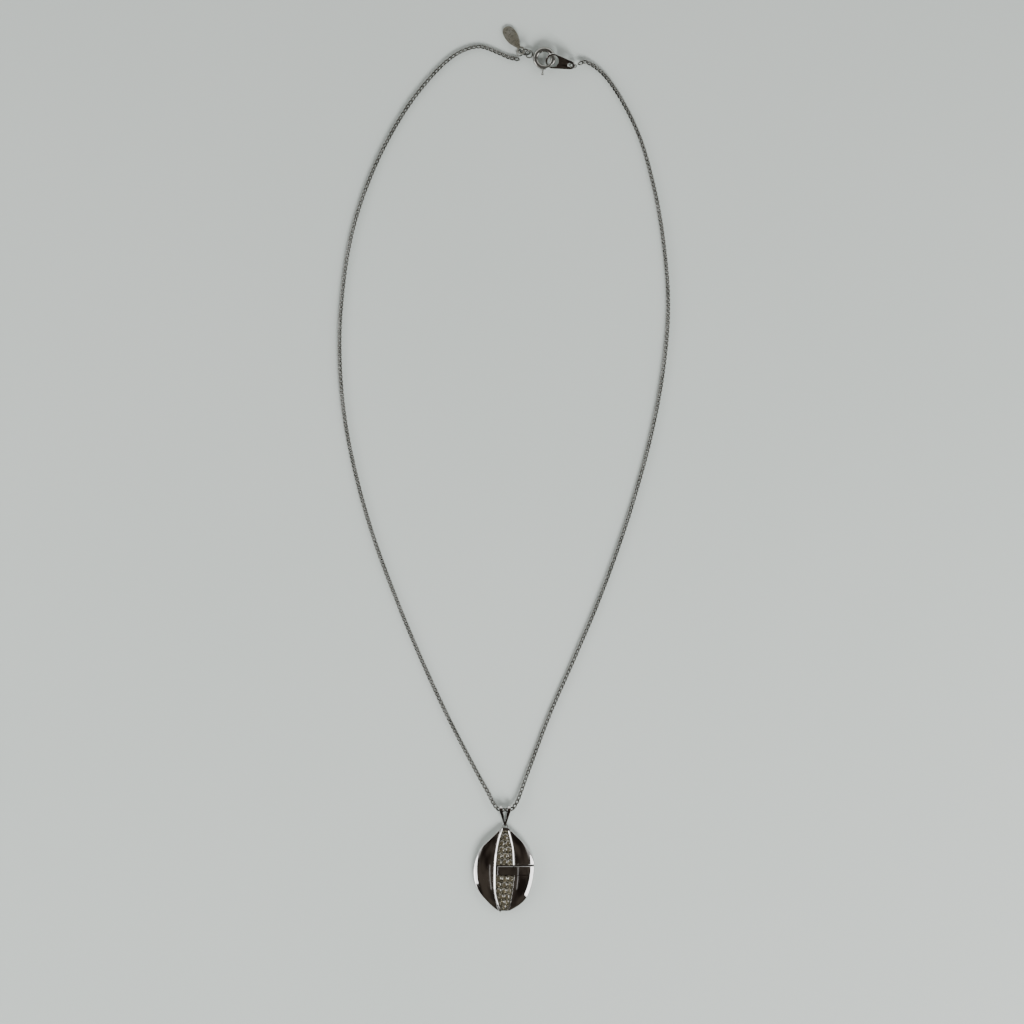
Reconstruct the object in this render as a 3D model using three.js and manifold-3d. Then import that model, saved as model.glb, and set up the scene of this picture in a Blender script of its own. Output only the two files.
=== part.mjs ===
// A pendant necklace lying flat, drop downwards: a domed two-lobed pendant with two pave fields,
// a rabbit-ear bail, a fine chain, and a spring-ring clasp with a chain tab and a hang tag.
// Millimetres. +Z is up from the surface it lies on, +Y runs from the pendant to the clasp,
// and the origin is the bottom centre of the whole.
import * as THREE from 'three';
import { mergeVertices } from 'three/addons/utils/BufferGeometryUtils.js';
import Module from 'manifold-3d';

const wasm = await Module();
wasm.setup();

// ---- driving dimensions ----

const SOLDER_GAP = 0.02; // between pieces that are soldered or set together
const CUT_PAST = 1; // how far a cutter reaches past what it cuts
const THROUGH = 3; // half the height of a cutter that goes right through
const SAME_POINT = 1e-5; // corners this close are one corner
const NEAR_CUT = 0.02; // points this close to the cut end of a line are dropped
const RING_SEGMENTS = [7, 20]; // round the wire, round the ring

// Chain: the centreline's points x, y, z from the clasp's eye, round the pendant, to the chain tab.
const CHAIN_RADIUS = 0.6;
const CHAIN_SIDES = 8;
const CHAIN_ROUTE = [
  [3.8, 106.8, 0.66], [1.6, 107.2, 0.62], [-1.0, 108.3, 0.62], [-6.2, 110.1, 0.62],
  [-11.4, 108.7, 0.62], [-16.3, 105.0, 0.62], [-23.9, 96.1, 0.62], [-30.6, 85.1, 0.62],
  [-35.9, 73.2, 0.62], [-39.7, 60.8, 0.62], [-41.9, 46.7, 0.62], [-42.7, 32.4, 0.62],
  [-41.7, 16.0, 0.62], [-38.9, 0.6, 0.62], [-34.3, -16.1, 0.62], [-28.4, -32.4, 0.62],
  [-21.8, -48.4, 0.62], [-14.5, -64.2, 0.62], [-6.5, -79.5, 0.7], [-4.2, -83.6, 0.9],
  [-2.6, -86.7, 1.15], [-1.5, -87.95, 1.25], [0.3, -88.2, 1.27], [2.1, -87.95, 1.25],
  [3.1, -86.7, 1.15], [6.2, -78.6, 0.7], [11.8, -63.7, 0.62], [18.2, -49.1, 0.62],
  [24.4, -34.5, 0.62], [29.9, -19.6, 0.62], [34.7, -4.4, 0.62], [38.7, 11.0, 0.62],
  [41.5, 26.7, 0.62], [42.7, 42.5, 0.62], [41.6, 58.4, 0.62], [38.9, 74.0, 0.62],
  [34.2, 89.2, 0.62], [26.0, 102.8, 0.62], [21.2, 106.1, 0.8], [19.5, 105.6, 1.2],
];

// Pendant, in its own frame: x and y from the middle of its outline, z from its back.
const PENDANT_AT = [0, -103.8, 0];
const PLATE_HEIGHT = 0.5;
const PLATE_INSET = 0.12;
const DOME_AT_RIM = [8.6, 12, 2.9]; // half-axes of the ellipsoid that the lobes' faces lie on
const DOME_OF_WALLS = [8.75, 12.15, 3.1];
const DOME_OF_BEDS = [8.2, 11.6, 2.3];
const DOME_SEGMENTS = [32, 16];
const GROOVE = 0.05; // between neighbouring lobes, walls and beds
const SPLIT_Y = 1.15; // the right lobe is cut in two here
const SPLIT_GROOVE = 0.3;
const WALL_WIDTH = 0.42;
const LOBE_END = -10.72; // the lobes run out to a point here, at the pendant's foot
const LEFT_LOBE_TOP = [11, 10.5]; // at its outer edge and beside the wall
const RIGHT_LOBE_TOP = [10.6, 10.2];
const FIELD_TOP = 10.1; // the pave beds reach from here
const FIELD_END = -10.5; // to here
const SHORT_LINE_STEPS = 12;
const OUTLINE_LEFT = [
  [-0.65, 11.2], [-2.0, 9.6], [-4.0, 7.7], [-5.8, 5.9], [-7.0, 3.7], [-7.75, 1.25],
  [-7.95, -1.2], [-7.45, -4.0], [-6.5, -5.8], [-4.8, -7.8], [-2.8, -9.7], [-1.2, -10.9],
];
const OUTLINE_RIGHT = [
  [1.2, 11.0], [2.95, 9.2], [4.95, 7.2], [6.45, 5.2], [7.5, 3.25], [7.95, 1.4],
  [7.75, -1.2], [7.2, -4.0], [5.95, -7.2], [3.95, -9.2], [1.0, -10.9],
];
const LEFT_WALL_LINE = [
  [-0.5, 10.6], [-1.4, 7.9], [-1.95, 4.9], [-2.3, 1.8], [-2.42, -2.9], [-2.26, -6.0],
  [-1.6, -8.85], [-0.98, -10.95],
];
const RIGHT_WALL_LINE = [[1.2, 10.3], [1.9, 7.7], [2.42, 4.95], [2.57, 1.0]];
const FLAG_LINE = [[2.72, -1.7], [2.3, -4.6], [1.95, -7.0], [1.45, -9.4], [0.75, -10.75]];
const FLAG_LEFT = -1.66; // the lower lobe's top band reaches this far left
const BAND_BOTTOM = -1.35; // and down to here

// Stones: [x, y, diameter], brilliant-cut rounds
const STONE_SIDES = 8;
const UPPER_STONES = [
  [0.36, 8.72, 1.6], [-0.5, 7.05, 1.45], [1.12, 7.05, 1.38], [-0.62, 5.4, 1.5],
  [1.24, 5.4, 1.5], [-1.22, 3.78, 1.36], [0.28, 3.86, 1.36], [1.66, 3.72, 1.22],
  [-1.24, 2.2, 1.36], [0.28, 2.26, 1.4], [1.68, 2.16, 1.24],
];
const LOWER_STONES = [
  [-1.38, -2.15, 1.4], [0.2, -2.2, 1.44], [1.72, -2.2, 1.4], [-1.44, -3.75, 1.4],
  [0.1, -3.8, 1.42], [1.54, -3.8, 1.26], [-1.4, -5.3, 1.34], [0.0, -5.4, 1.3],
  [1.32, -5.35, 1.18], [-0.8, -6.9, 1.42], [0.76, -6.9, 1.42], [-0.55, -8.35, 1.2],
  [0.72, -8.3, 1.16], [0.02, -9.6, 1.16],
];
const STONE_PROUD = 0.08; // girdle above the bed
const SEAT_GAP = 0.04;
const CULET = 0.86; // the stones' proportions, as shares of the radius: depth below the girdle
const GIRDLE = 0.03; // half the girdle's height
const TABLE = [0.57, 0.32]; // the table's radius and height
const SEAT_LEDGE = 0.1; // the seat's cone starts this far below the girdle
const SEAT_HOLE = 0.22; // the hole through the bed under the culet

// Pendant loop: a half ring behind the pendant's top, which the bail's lower turn goes through
const LOOP_RADIUS = 0.65;
const LOOP_WIRE = 0.14;
const PIVOT_Y = 11.78; // the loop's highest wire, where the pendant swings on the bail
const PIVOT_Z = 0.67;
const LOOP_ARC = [-40, 220]; // degrees; its ends lie on the back plate

// Bail: a strip that loops over the chain, split into two ears
const BAIL_AT = [0.3, -88.2, 1.27]; // on the chain's centreline
const BAIL_INSIDE = 0.95;
const BAIL_STRIP = 0.25;
const BAIL_TURN_INSIDE = 0.22; // round the pendant loop's wire
const BAIL_HALF_TOP = 1.45;
const BAIL_SHOULDER = -0.3; // it tapers from here down, below the chain's centreline
const BAIL_HALF_TIP = 0.15;
const BAIL_MARGIN = 0.1; // the taper is drawn this far past the strip's ends
const EARS_APART_TOP = 0.8;
const EARS_APART_LOW = 0.07;
const EARS_SPLIT_TO = -3.1; // below the chain's centreline

// Clasp: a spring ring, lifted a little on the side of the chain tab
const CLASP_AT = [10.5, 107.0, 1.25];
const CLASP_LIFT = 6; // degrees
const CLASP_RADIUS = 2.3;
const TUBE_OUTSIDE = 0.7;
const TUBE_INSIDE = 0.47;
const TUBE_ARC = [-35, 278]; // degrees counter-clockwise; the rest is the gap
const BOLT_RADIUS = 0.4;
const BOLT_ARC = [235, 332];
const KNOB_ANGLE = 263;
const SLOT_EXTRA = 7; // degrees that the slot runs past the knob at each end
const TRIGGER_TRAVEL = 50;
const SLOT_ARC = [KNOB_ANGLE - TRIGGER_TRAVEL - SLOT_EXTRA, KNOB_ANGLE + SLOT_EXTRA];
const SLOT_HALF_HEIGHT = 0.3;
const KNOB_STEM = 0.2;
const KNOB_HEAD = 0.42;
const KNOB_TIP = 4.35; // from the ring's centre
const KNOB_FLARE = [0.6, 0.15]; // where its flare starts and ends, back from the tip
const SPRING_ARC = [118, 233];
const SPRING_COILS = 11;
const SPRING_RADIUS = 0.32;
const SPRING_WIRE = 0.08;
const STOP_ARC = [108, 116];
const STOP_INTO_WALL = 0.1;
const EYE_ANGLE = 163.7;
const EYE_RADIUS = 0.95;
const EYE_WIRE = 0.19;

// Jump ring, between the clasp's eye, the chain's end and the hang tag
const JUMP_RADIUS = 1.2;
const JUMP_WIRE = 0.21;
const JUMP_TURN = -12; // degrees about Z
const JUMP_TILT = 58; // degrees up from flat
const EYE_ON_JUMP = -25; // where it passes through each piece, degrees round the ring
const CHAIN_ON_JUMP = -143;
const TAG_ON_JUMP = 166;
const JUMP_CUT = [60, 4]; // where its ends meet, and how wide the joint is, degrees

// End rings on the chain
const END_RADIUS = 0.85;
const END_WIRE = 0.18;
const LEFT_END_TILT = [-20, -20]; // degrees about X and Y
const LEFT_END_SLACK = 0.3; // how far it is pulled off the middle of the jump ring's wire

// Chain tab
const TAB_AT = [12.75, 106.3, 1.68]; // middle of its large hole
const TAB_TURN = [39, 3, -13]; // degrees about X, Y and Z
const TAB_LENGTH = 4.5; // hole to hole
const TAB_THICK = 0.3;
const TAB_LARGE = [1.95, 2.35]; // half-axes
const TAB_LARGE_HOLE = [1.45, 1.85];
const TAB_SMALL = 1.35;
const TAB_SMALL_HOLE = 0.65;
const TAB_SIDES_AT = 0.3; // its straight sides leave the round ends this far past their middles
const TAB_SIDES_SHARE = [0.985, 0.97]; // and at this share of their half-widths

// Hang tag
const TAG_TURN = 123.7; // degrees about Z
const TAG_DROOP = 9; // degrees
const TAG_THICK = 0.32;
const TAG_EYELET = 1.05;
const TAG_HOLE = 0.65;
const TAG_NECK = [1.35, 0.45]; // where, and its half-width
const TAG_WIDEST = [4.7, 1.68];
const TAG_TIP = 7.45;
const TAG_SHOULDER = 2.2; // how far its curves run on each side of the widest place
const TAG_NOSE = [0.9, 0.62]; // the curves of its round end: back from the tip, share of the width

// ---- materials ----

const metal = (color, roughness) =>
  new THREE.MeshStandardMaterial({ color, roughness, metalness: 1 });
const PLATED = metal(0xd6d7d9, 0.08);
const CHAIN_METAL = metal(0xc9cacc, 0.16);
const BED_METAL = metal(0xa9a79f, 0.3);
const SPRING_STEEL = metal(0x9a9da1, 0.3);
const STONE = new THREE.MeshStandardMaterial({
  color: 0xb8b094, roughness: 0.03, metalness: 0, flatShading: true,
});

// ---- geometry helpers ----

const radians = (degrees) => (degrees * Math.PI) / 180;
const vector = (point) => new THREE.Vector3(...point);
const points2 = (list) => list.map(([x, y]) => new THREE.Vector2(x, y));

function toSolid(geometry) {
  const bare = geometry.clone();
  bare.deleteAttribute('normal');
  bare.deleteAttribute('uv');
  const merged = mergeVertices(bare, SAME_POINT);
  return new wasm.Manifold(new wasm.Mesh({
    numProp: 3,
    vertProperties: new Float32Array(merged.attributes.position.array),
    triVerts: new Uint32Array(merged.index.array),
  }));
}

function toGeometry(solid) {
  const mesh = solid.getMesh();
  const geometry = new THREE.BufferGeometry();
  geometry.setAttribute('position', new THREE.BufferAttribute(mesh.vertProperties, 3));
  geometry.setIndex(new THREE.BufferAttribute(mesh.triVerts, 1));
  geometry.computeVertexNormals();
  return geometry;
}

// A straight prism of a shape in x and y, from z low to z high.
function prism(shape, low, high) {
  const geometry = new THREE.ExtrudeGeometry(shape, {
    depth: high - low, bevelEnabled: false, steps: 1, curveSegments: 10,
  });
  geometry.translate(0, 0, low);
  return geometry;
}

function smooth(list, divisions = 20) {
  return new THREE.SplineCurve(points2(list)).getPoints(divisions);
}

function polygon(points) {
  return new THREE.Shape(points);
}

// The points of a line, moved sideways by a distance: positive is to the left of its direction.
function beside(points, distance) {
  return points.map((point, i) => {
    const before = points[Math.max(i - 1, 0)];
    const after = points[Math.min(i + 1, points.length - 1)];
    const along = after.clone().sub(before).normalize();
    return new THREE.Vector2(point.x - along.y * distance, point.y + along.x * distance);
  });
}

function circleShape(radius, sides) {
  return polygon(new THREE.EllipseCurve(0, 0, radius, radius).getPoints(sides).slice(0, sides));
}

// A rod swept along part of a circle about Z; inside makes it a tube.
function arcRod(radius, outside, arc, { inside = 0, sides = 10, stepDegrees = 12 } = {}) {
  class Arc extends THREE.Curve {
    getPoint(t) {
      const angle = radians(THREE.MathUtils.lerp(arc[0], arc[1], t));
      return new THREE.Vector3(radius * Math.cos(angle), radius * Math.sin(angle), 0);
    }
  }
  const section = circleShape(outside, sides);
  if (inside) section.holes.push(circleShape(inside, sides));
  return new THREE.ExtrudeGeometry(section, {
    extrudePath: new Arc(), bevelEnabled: false,
    steps: Math.ceil(Math.abs(arc[1] - arc[0]) / stepDegrees),
  });
}

// A slice of a flat ring about Z, used as a cutter.
function ringSlice(inner, outer, arc, halfHeight) {
  const shape = new THREE.Shape();
  shape.absarc(0, 0, outer, radians(arc[0]), radians(arc[1]), false);
  shape.absarc(0, 0, inner, radians(arc[1]), radians(arc[0]), true);
  return prism(shape, -halfHeight, halfHeight);
}

// The outline round two circles on one line, both in the same plane.
function roundedTaper(a, radiusA, b, radiusB) {
  const along = b.clone().sub(a);
  const lean = Math.acos((radiusA - radiusB) / along.length());
  const heading = along.angle();
  const shape = new THREE.Shape();
  shape.absarc(a.x, a.y, radiusA, heading + lean, heading - lean + 2 * Math.PI, false);
  shape.absarc(b.x, b.y, radiusB, heading - lean, heading + lean, false);
  return shape;
}

const necklace = new THREE.Group();

function addPiece(parent, name, geometry, material) {
  const mesh = new THREE.Mesh(geometry, material);
  mesh.name = name;
  parent.add(mesh);
  return mesh;
}

function addGroup(parent, at) {
  const group = new THREE.Group();
  group.position.set(...at);
  parent.add(group);
  return group;
}

// ---- pendant ----

// The part of a dome, an ellipsoid about the pendant's middle, over a shape in plan.
function domedPiece(shape, dome, bottom = PLATE_HEIGHT + SOLDER_GAP) {
  const ellipsoid = new THREE.SphereGeometry(1, ...DOME_SEGMENTS);
  ellipsoid.rotateX(Math.PI / 2);
  ellipsoid.scale(...dome);
  return toSolid(prism(shape, bottom, dome[2] + CUT_PAST)).intersect(toSolid(ellipsoid));
}

const domeHeight = (x, y, [a, b, c]) => c * Math.sqrt(1 - (x / a) ** 2 - (y / b) ** 2);

function pendantPlate(left, right) {
  const inset = [...beside(left, -PLATE_INSET), ...beside(right, PLATE_INSET).reverse()];
  return prism(polygon(inset.map((p) => new THREE.Vector2(p.x, -p.y))), 0, PLATE_HEIGHT)
    .rotateX(Math.PI)
    .translate(0, 0, PLATE_HEIGHT);
}

// The points of a line between two heights, with its ends put exactly on them.
function between(points, top, bottom) {
  const at = (y) => {
    const i = points.findIndex((p) => p.y <= y);
    const [a, b] = [points[i - 1], points[i]];
    return a.clone().lerp(b, (a.y - y) / (a.y - b.y));
  };
  const inside = (y) => y < top - NEAR_CUT && y > bottom + NEAR_CUT;
  return [at(top), ...points.filter((p) => inside(p.y)), at(bottom)];
}

// A brilliant from its culet to its table, about its girdle's plane.
function stoneProfile(diameter) {
  const r = diameter / 2;
  return points2([
    [0, -CULET * r], [r, -GIRDLE * r], [r, GIRDLE * r], [TABLE[0] * r, TABLE[1] * r],
    [0, TABLE[1] * r]]);
}

// A stone's own frame: on its bed, square to the dome there.
function onBed([x, y]) {
  const [a, b, c] = DOME_OF_BEDS;
  const z = domeHeight(x, y, DOME_OF_BEDS);
  const outward = new THREE.Vector3(x / a ** 2, y / b ** 2, z / c ** 2).normalize();
  const turn = new THREE.Quaternion().setFromUnitVectors(new THREE.Vector3(0, 0, 1), outward);
  const at = new THREE.Vector3(x, y, z).addScaledVector(outward, STONE_PROUD);
  return new THREE.Matrix4().compose(at, turn, new THREE.Vector3(1, 1, 1));
}

function latheZ(profile, sides) {
  return new THREE.LatheGeometry(profile, sides).rotateX(Math.PI / 2);
}

// A pave bed with a seat cut for each stone, open at the back.
function paveBed(shape, stones) {
  let bed = domedPiece(shape, DOME_OF_BEDS);
  for (const stone of stones) {
    const r = stone[2] / 2;
    const seat = [
      new THREE.Vector2(0, -THROUGH), new THREE.Vector2(SEAT_HOLE * r, -THROUGH),
      new THREE.Vector2(SEAT_HOLE * r, -CULET * r),
      new THREE.Vector2(r + SEAT_GAP, -SEAT_LEDGE * r),
      new THREE.Vector2(r + SEAT_GAP, CUT_PAST), new THREE.Vector2(0, CUT_PAST),
    ];
    bed = bed.subtract(toSolid(latheZ(seat, STONE_SIDES).applyMatrix4(onBed(stone))));
  }
  return toGeometry(bed);
}

function addPendant() {
  const pendant = addGroup(necklace, PENDANT_AT);
  const left = smooth(OUTLINE_LEFT);
  const right = smooth(OUTLINE_RIGHT);
  const leftWall = smooth(LEFT_WALL_LINE);
  const rightWall = smooth(RIGHT_WALL_LINE, SHORT_LINE_STEPS);
  const flag = smooth(FLAG_LINE, SHORT_LINE_STEPS);
  const half = WALL_WIDTH / 2;

  addPiece(pendant, 'pendant_back_plate', pendantPlate(left, right), PLATED);

  const leftInner = between(beside(leftWall, -half - GROOVE), LEFT_LOBE_TOP[1], LOBE_END);
  const leftLobe = polygon([
    ...between(left, LEFT_LOBE_TOP[0], LOBE_END), ...leftInner.reverse()]);
  addPiece(pendant, 'left_lobe', toGeometry(domedPiece(leftLobe, DOME_AT_RIM)), PLATED);

  const wall = (line) => polygon([...beside(line, -half), ...beside(line, half).reverse()]);
  const upperEnd = SPLIT_Y + SPLIT_GROOVE / 2;
  const lowerEnd = SPLIT_Y - SPLIT_GROOVE / 2;
  const walls = {
    left_channel_wall: leftWall,
    right_channel_wall: between(rightWall, RIGHT_LOBE_TOP[1], upperEnd),
  };
  for (const [name, line] of Object.entries(walls)) {
    addPiece(pendant, name, toGeometry(domedPiece(wall(line), DOME_OF_WALLS)), PLATED);
  }

  const upperInner = between(beside(rightWall, half + GROOVE), RIGHT_LOBE_TOP[1], upperEnd);
  const upperLobe = polygon([
    ...between(right, RIGHT_LOBE_TOP[0], upperEnd), ...upperInner.reverse()]);
  addPiece(pendant, 'upper_right_lobe', toGeometry(domedPiece(upperLobe, DOME_AT_RIM)), PLATED);

  const lowerLobe = polygon([
    new THREE.Vector2(FLAG_LEFT, lowerEnd), ...between(right, lowerEnd, LOBE_END),
    ...beside(flag, GROOVE).reverse(), new THREE.Vector2(FLAG_LINE[0][0], BAND_BOTTOM),
    new THREE.Vector2(FLAG_LEFT, BAND_BOTTOM),
  ]);
  addPiece(pendant, 'lower_right_lobe', toGeometry(domedPiece(lowerLobe, DOME_AT_RIM)), PLATED);

  const upperLeft = between(beside(leftWall, half + GROOVE), FIELD_TOP, upperEnd);
  const upperRight = between(beside(rightWall, -half - GROOVE), FIELD_TOP, upperEnd);
  const upperBed = polygon([...upperLeft, ...upperRight.reverse()]);
  addPiece(pendant, 'upper_pave_bed', paveBed(upperBed, UPPER_STONES), BED_METAL);

  const lowerTop = BAND_BOTTOM - GROOVE;
  const lowerLeft = between(beside(leftWall, half + GROOVE), lowerTop, FIELD_END);
  const lowerRight = beside(flag, -GROOVE);
  lowerRight[0].y = lowerTop;
  const lowerBed = polygon([...lowerLeft, ...lowerRight.reverse()]);
  addPiece(pendant, 'lower_pave_bed', paveBed(lowerBed, LOWER_STONES), BED_METAL);

  for (const [field, stones] of [['upper', UPPER_STONES], ['lower', LOWER_STONES]]) {
    stones.forEach((stone, i) => {
      const name = `${field}_stone_${String(i + 1).padStart(2, '0')}`;
      const mesh = addPiece(pendant, name, latheZ(stoneProfile(stone[2]), STONE_SIDES), STONE);
      mesh.applyMatrix4(onBed(stone));
    });
  }

  const loop = arcRod(LOOP_RADIUS, LOOP_WIRE, LOOP_ARC, { sides: 8 });
  loop.translate(BAIL_AT[0] - PENDANT_AT[0], PIVOT_Y - LOOP_RADIUS, PIVOT_Z);
  addPiece(pendant, 'pendant_loop', loop, PLATED);
}

// ---- bail ----

function addBail() {
  const bail = addGroup(necklace, BAIL_AT);
  const turnY = PENDANT_AT[1] + PIVOT_Y - BAIL_AT[1];
  const turn = new THREE.Vector2(turnY, PIVOT_Z - BAIL_AT[2]);
  const chain = new THREE.Vector2(0, 0);
  const outline = (grow) =>
    roundedTaper(chain, BAIL_INSIDE + grow, turn, BAIL_TURN_INSIDE + grow);
  const sideShape = outline(BAIL_STRIP);
  sideShape.holes.push(outline(0));

  // The side view is drawn in y and z, then stood up so that it is extruded along x.
  const sideView = prism(sideShape, -BAIL_HALF_TOP, BAIL_HALF_TOP);
  const standing = new THREE.Matrix4().makeBasis(
    new THREE.Vector3(0, 1, 0), new THREE.Vector3(0, 0, 1), new THREE.Vector3(1, 0, 0));
  sideView.applyMatrix4(standing);

  const top = BAIL_INSIDE + BAIL_STRIP + BAIL_MARGIN;
  const bottom = turnY - BAIL_TURN_INSIDE - BAIL_STRIP - BAIL_MARGIN;
  const frontView = polygon(points2([
    [-BAIL_HALF_TOP, top], [-BAIL_HALF_TOP, BAIL_SHOULDER], [-BAIL_HALF_TIP, bottom],
    [BAIL_HALF_TIP, bottom], [BAIL_HALF_TOP, BAIL_SHOULDER], [BAIL_HALF_TOP, top]]));
  const taper = prism(frontView, -THROUGH, THROUGH);
  const opening = polygon(points2([
    [-EARS_APART_TOP, top], [-EARS_APART_LOW, EARS_SPLIT_TO],
    [EARS_APART_LOW, EARS_SPLIT_TO], [EARS_APART_TOP, top]]));
  const split = prism(opening, -THROUGH, THROUGH);
  const solid = toSolid(sideView).intersect(toSolid(taper)).subtract(toSolid(split));
  addPiece(bail, 'bail', toGeometry(solid), PLATED);
}

// ---- clasp, jump ring, hang tag, chain tab and chain ----

// A point on the jump ring, from its centre.
function onJumpRing(degrees) {
  return new THREE.Vector3(
    JUMP_RADIUS * Math.cos(radians(degrees)), JUMP_RADIUS * Math.sin(radians(degrees)), 0,
  ).applyEuler(new THREE.Euler(radians(JUMP_TILT), 0, radians(JUMP_TURN), 'ZYX'));
}

function addClasp() {
  const clasp = addGroup(necklace, CLASP_AT);
  clasp.rotation.y = -radians(CLASP_LIFT);

  const outer = arcRod(CLASP_RADIUS, TUBE_OUTSIDE, TUBE_ARC, { inside: TUBE_INSIDE });
  const slot = ringSlice(
    CLASP_RADIUS, CLASP_RADIUS + TUBE_OUTSIDE + CUT_PAST, SLOT_ARC, SLOT_HALF_HEIGHT);
  const stop = arcRod(CLASP_RADIUS, TUBE_INSIDE + STOP_INTO_WALL, STOP_ARC);
  const tube = toSolid(outer).subtract(toSolid(slot)).add(toSolid(stop));
  addPiece(clasp, 'clasp_tube', toGeometry(tube), PLATED);

  const fromCentre = CLASP_RADIUS + TUBE_OUTSIDE + EYE_RADIUS + EYE_WIRE + SOLDER_GAP;
  const eyeAngle = radians(EYE_ANGLE);
  const eye = addPiece(
    clasp, 'clasp_eye',
    new THREE.TorusGeometry(EYE_RADIUS, EYE_WIRE, ...RING_SEGMENTS), PLATED);
  eye.position.set(fromCentre * Math.cos(eyeAngle), fromCentre * Math.sin(eyeAngle), 0);

  const bolt = toSolid(arcRod(CLASP_RADIUS, BOLT_RADIUS, BOLT_ARC));
  const tip = KNOB_TIP - CLASP_RADIUS;
  const knobProfile = points2([
    [0, 0], [KNOB_STEM, 0], [KNOB_STEM, tip - KNOB_FLARE[0]],
    [KNOB_HEAD, tip - KNOB_FLARE[1]], [KNOB_HEAD, tip], [0, tip]]);
  const knob = new THREE.LatheGeometry(knobProfile, 10);
  knob.translate(0, CLASP_RADIUS, 0);
  knob.rotateZ(radians(KNOB_ANGLE - 90));
  addPiece(clasp, 'clasp_bolt', toGeometry(bolt.add(toSolid(knob))), PLATED);

  class Coil extends THREE.Curve {
    getPoint(t) {
      const angle = radians(THREE.MathUtils.lerp(SPRING_ARC[0], SPRING_ARC[1], t));
      const turn = 2 * Math.PI * SPRING_COILS * t;
      const radius = CLASP_RADIUS + SPRING_RADIUS * Math.cos(turn);
      return new THREE.Vector3(
        radius * Math.cos(angle), radius * Math.sin(angle), SPRING_RADIUS * Math.sin(turn));
    }
  }
  const spring = new THREE.ExtrudeGeometry(circleShape(SPRING_WIRE, 4), {
    extrudePath: new Coil(), steps: SPRING_COILS * 8, bevelEnabled: false,
  });
  addPiece(clasp, 'clasp_spring', spring, SPRING_STEEL);

  necklace.updateMatrixWorld(true);
  return eye.getWorldPosition(new THREE.Vector3());
}

function addJumpRing(eyeAt) {
  const centre = eyeAt.clone().sub(onJumpRing(EYE_ON_JUMP));
  const cutFrom = JUMP_CUT[0] + JUMP_CUT[1] / 2;
  const cutTo = JUMP_CUT[0] - JUMP_CUT[1] / 2 + 360;
  const wire = arcRod(JUMP_RADIUS, JUMP_WIRE, [cutFrom, cutTo], { sides: 8, stepDegrees: 12 });
  const ring = addPiece(necklace, 'jump_ring', wire, PLATED);
  ring.position.copy(centre);
  ring.rotation.set(radians(JUMP_TILT), 0, radians(JUMP_TURN), 'ZYX');
  return centre;
}

function addHangTag(centre) {
  const hole = centre.clone().add(onJumpRing(TAG_ON_JUMP));
  const [neckAt, neckHalf] = TAG_NECK;
  const [widestAt, widestHalf] = TAG_WIDEST;
  const neckAngle = Math.asin(neckHalf / TAG_EYELET);
  const shape = new THREE.Shape();
  shape.absarc(0, 0, TAG_EYELET, neckAngle, 2 * Math.PI - neckAngle, false);
  shape.bezierCurveTo(
    neckAt, -neckHalf, widestAt - TAG_SHOULDER, -widestHalf, widestAt, -widestHalf);
  shape.bezierCurveTo(
    TAG_TIP - TAG_NOSE[0], -widestHalf, TAG_TIP, -widestHalf * TAG_NOSE[1], TAG_TIP, 0);
  shape.bezierCurveTo(
    TAG_TIP, widestHalf * TAG_NOSE[1], TAG_TIP - TAG_NOSE[0], widestHalf, widestAt, widestHalf);
  shape.bezierCurveTo(
    widestAt - TAG_SHOULDER, widestHalf, neckAt, neckHalf,
    TAG_EYELET * Math.cos(neckAngle), neckHalf);
  const eyelet = new THREE.Path();
  eyelet.absarc(0, 0, TAG_HOLE, 0, 2 * Math.PI, true);
  shape.holes.push(eyelet);
  const tag = addPiece(necklace, 'hang_tag', prism(shape, -TAG_THICK / 2, TAG_THICK / 2), PLATED);
  tag.position.copy(hole);
  tag.rotation.set(0, radians(TAG_DROOP), radians(TAG_TURN), 'ZYX');
}

function addTab() {
  const group = addGroup(necklace, TAB_AT);
  group.rotation.set(...TAB_TURN.map(radians), 'ZYX');
  const large = new THREE.Shape();
  large.absellipse(0, 0, ...TAB_LARGE, 0, 2 * Math.PI, false);
  const wide = TAB_LARGE[1] * TAB_SIDES_SHARE[0];
  const narrow = TAB_SMALL * TAB_SIDES_SHARE[1];
  const taper = polygon(points2([
    [TAB_SIDES_AT, wide], [TAB_SIDES_AT, -wide],
    [TAB_LENGTH + TAB_SIDES_AT, -narrow], [TAB_LENGTH + TAB_SIDES_AT, narrow]]));
  const small = new THREE.Shape();
  small.absarc(TAB_LENGTH, 0, TAB_SMALL, 0, 2 * Math.PI, false);
  const largeHole = new THREE.Shape();
  largeHole.absellipse(0, 0, ...TAB_LARGE_HOLE, 0, 2 * Math.PI, false);
  const smallHole = new THREE.Shape();
  smallHole.absarc(TAB_LENGTH, 0, TAB_SMALL_HOLE, 0, 2 * Math.PI, false);
  const slab = (shape, half) => toSolid(prism(shape, -half, half));
  const solid = [taper, small]
    .reduce((sum, shape) => sum.add(slab(shape, TAB_THICK / 2)), slab(large, TAB_THICK / 2))
    .subtract(slab(largeHole, THROUGH))
    .subtract(slab(smallHole, THROUGH));
  addPiece(group, 'chain_tab', toGeometry(solid), PLATED);

  const ring = addPiece(
    group, 'chain_end_ring_right',
    new THREE.TorusGeometry(END_RADIUS, END_WIRE, ...RING_SEGMENTS), PLATED);
  ring.rotation.x = Math.PI / 2;
  ring.position.x = TAB_LENGTH + END_RADIUS;
}

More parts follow.
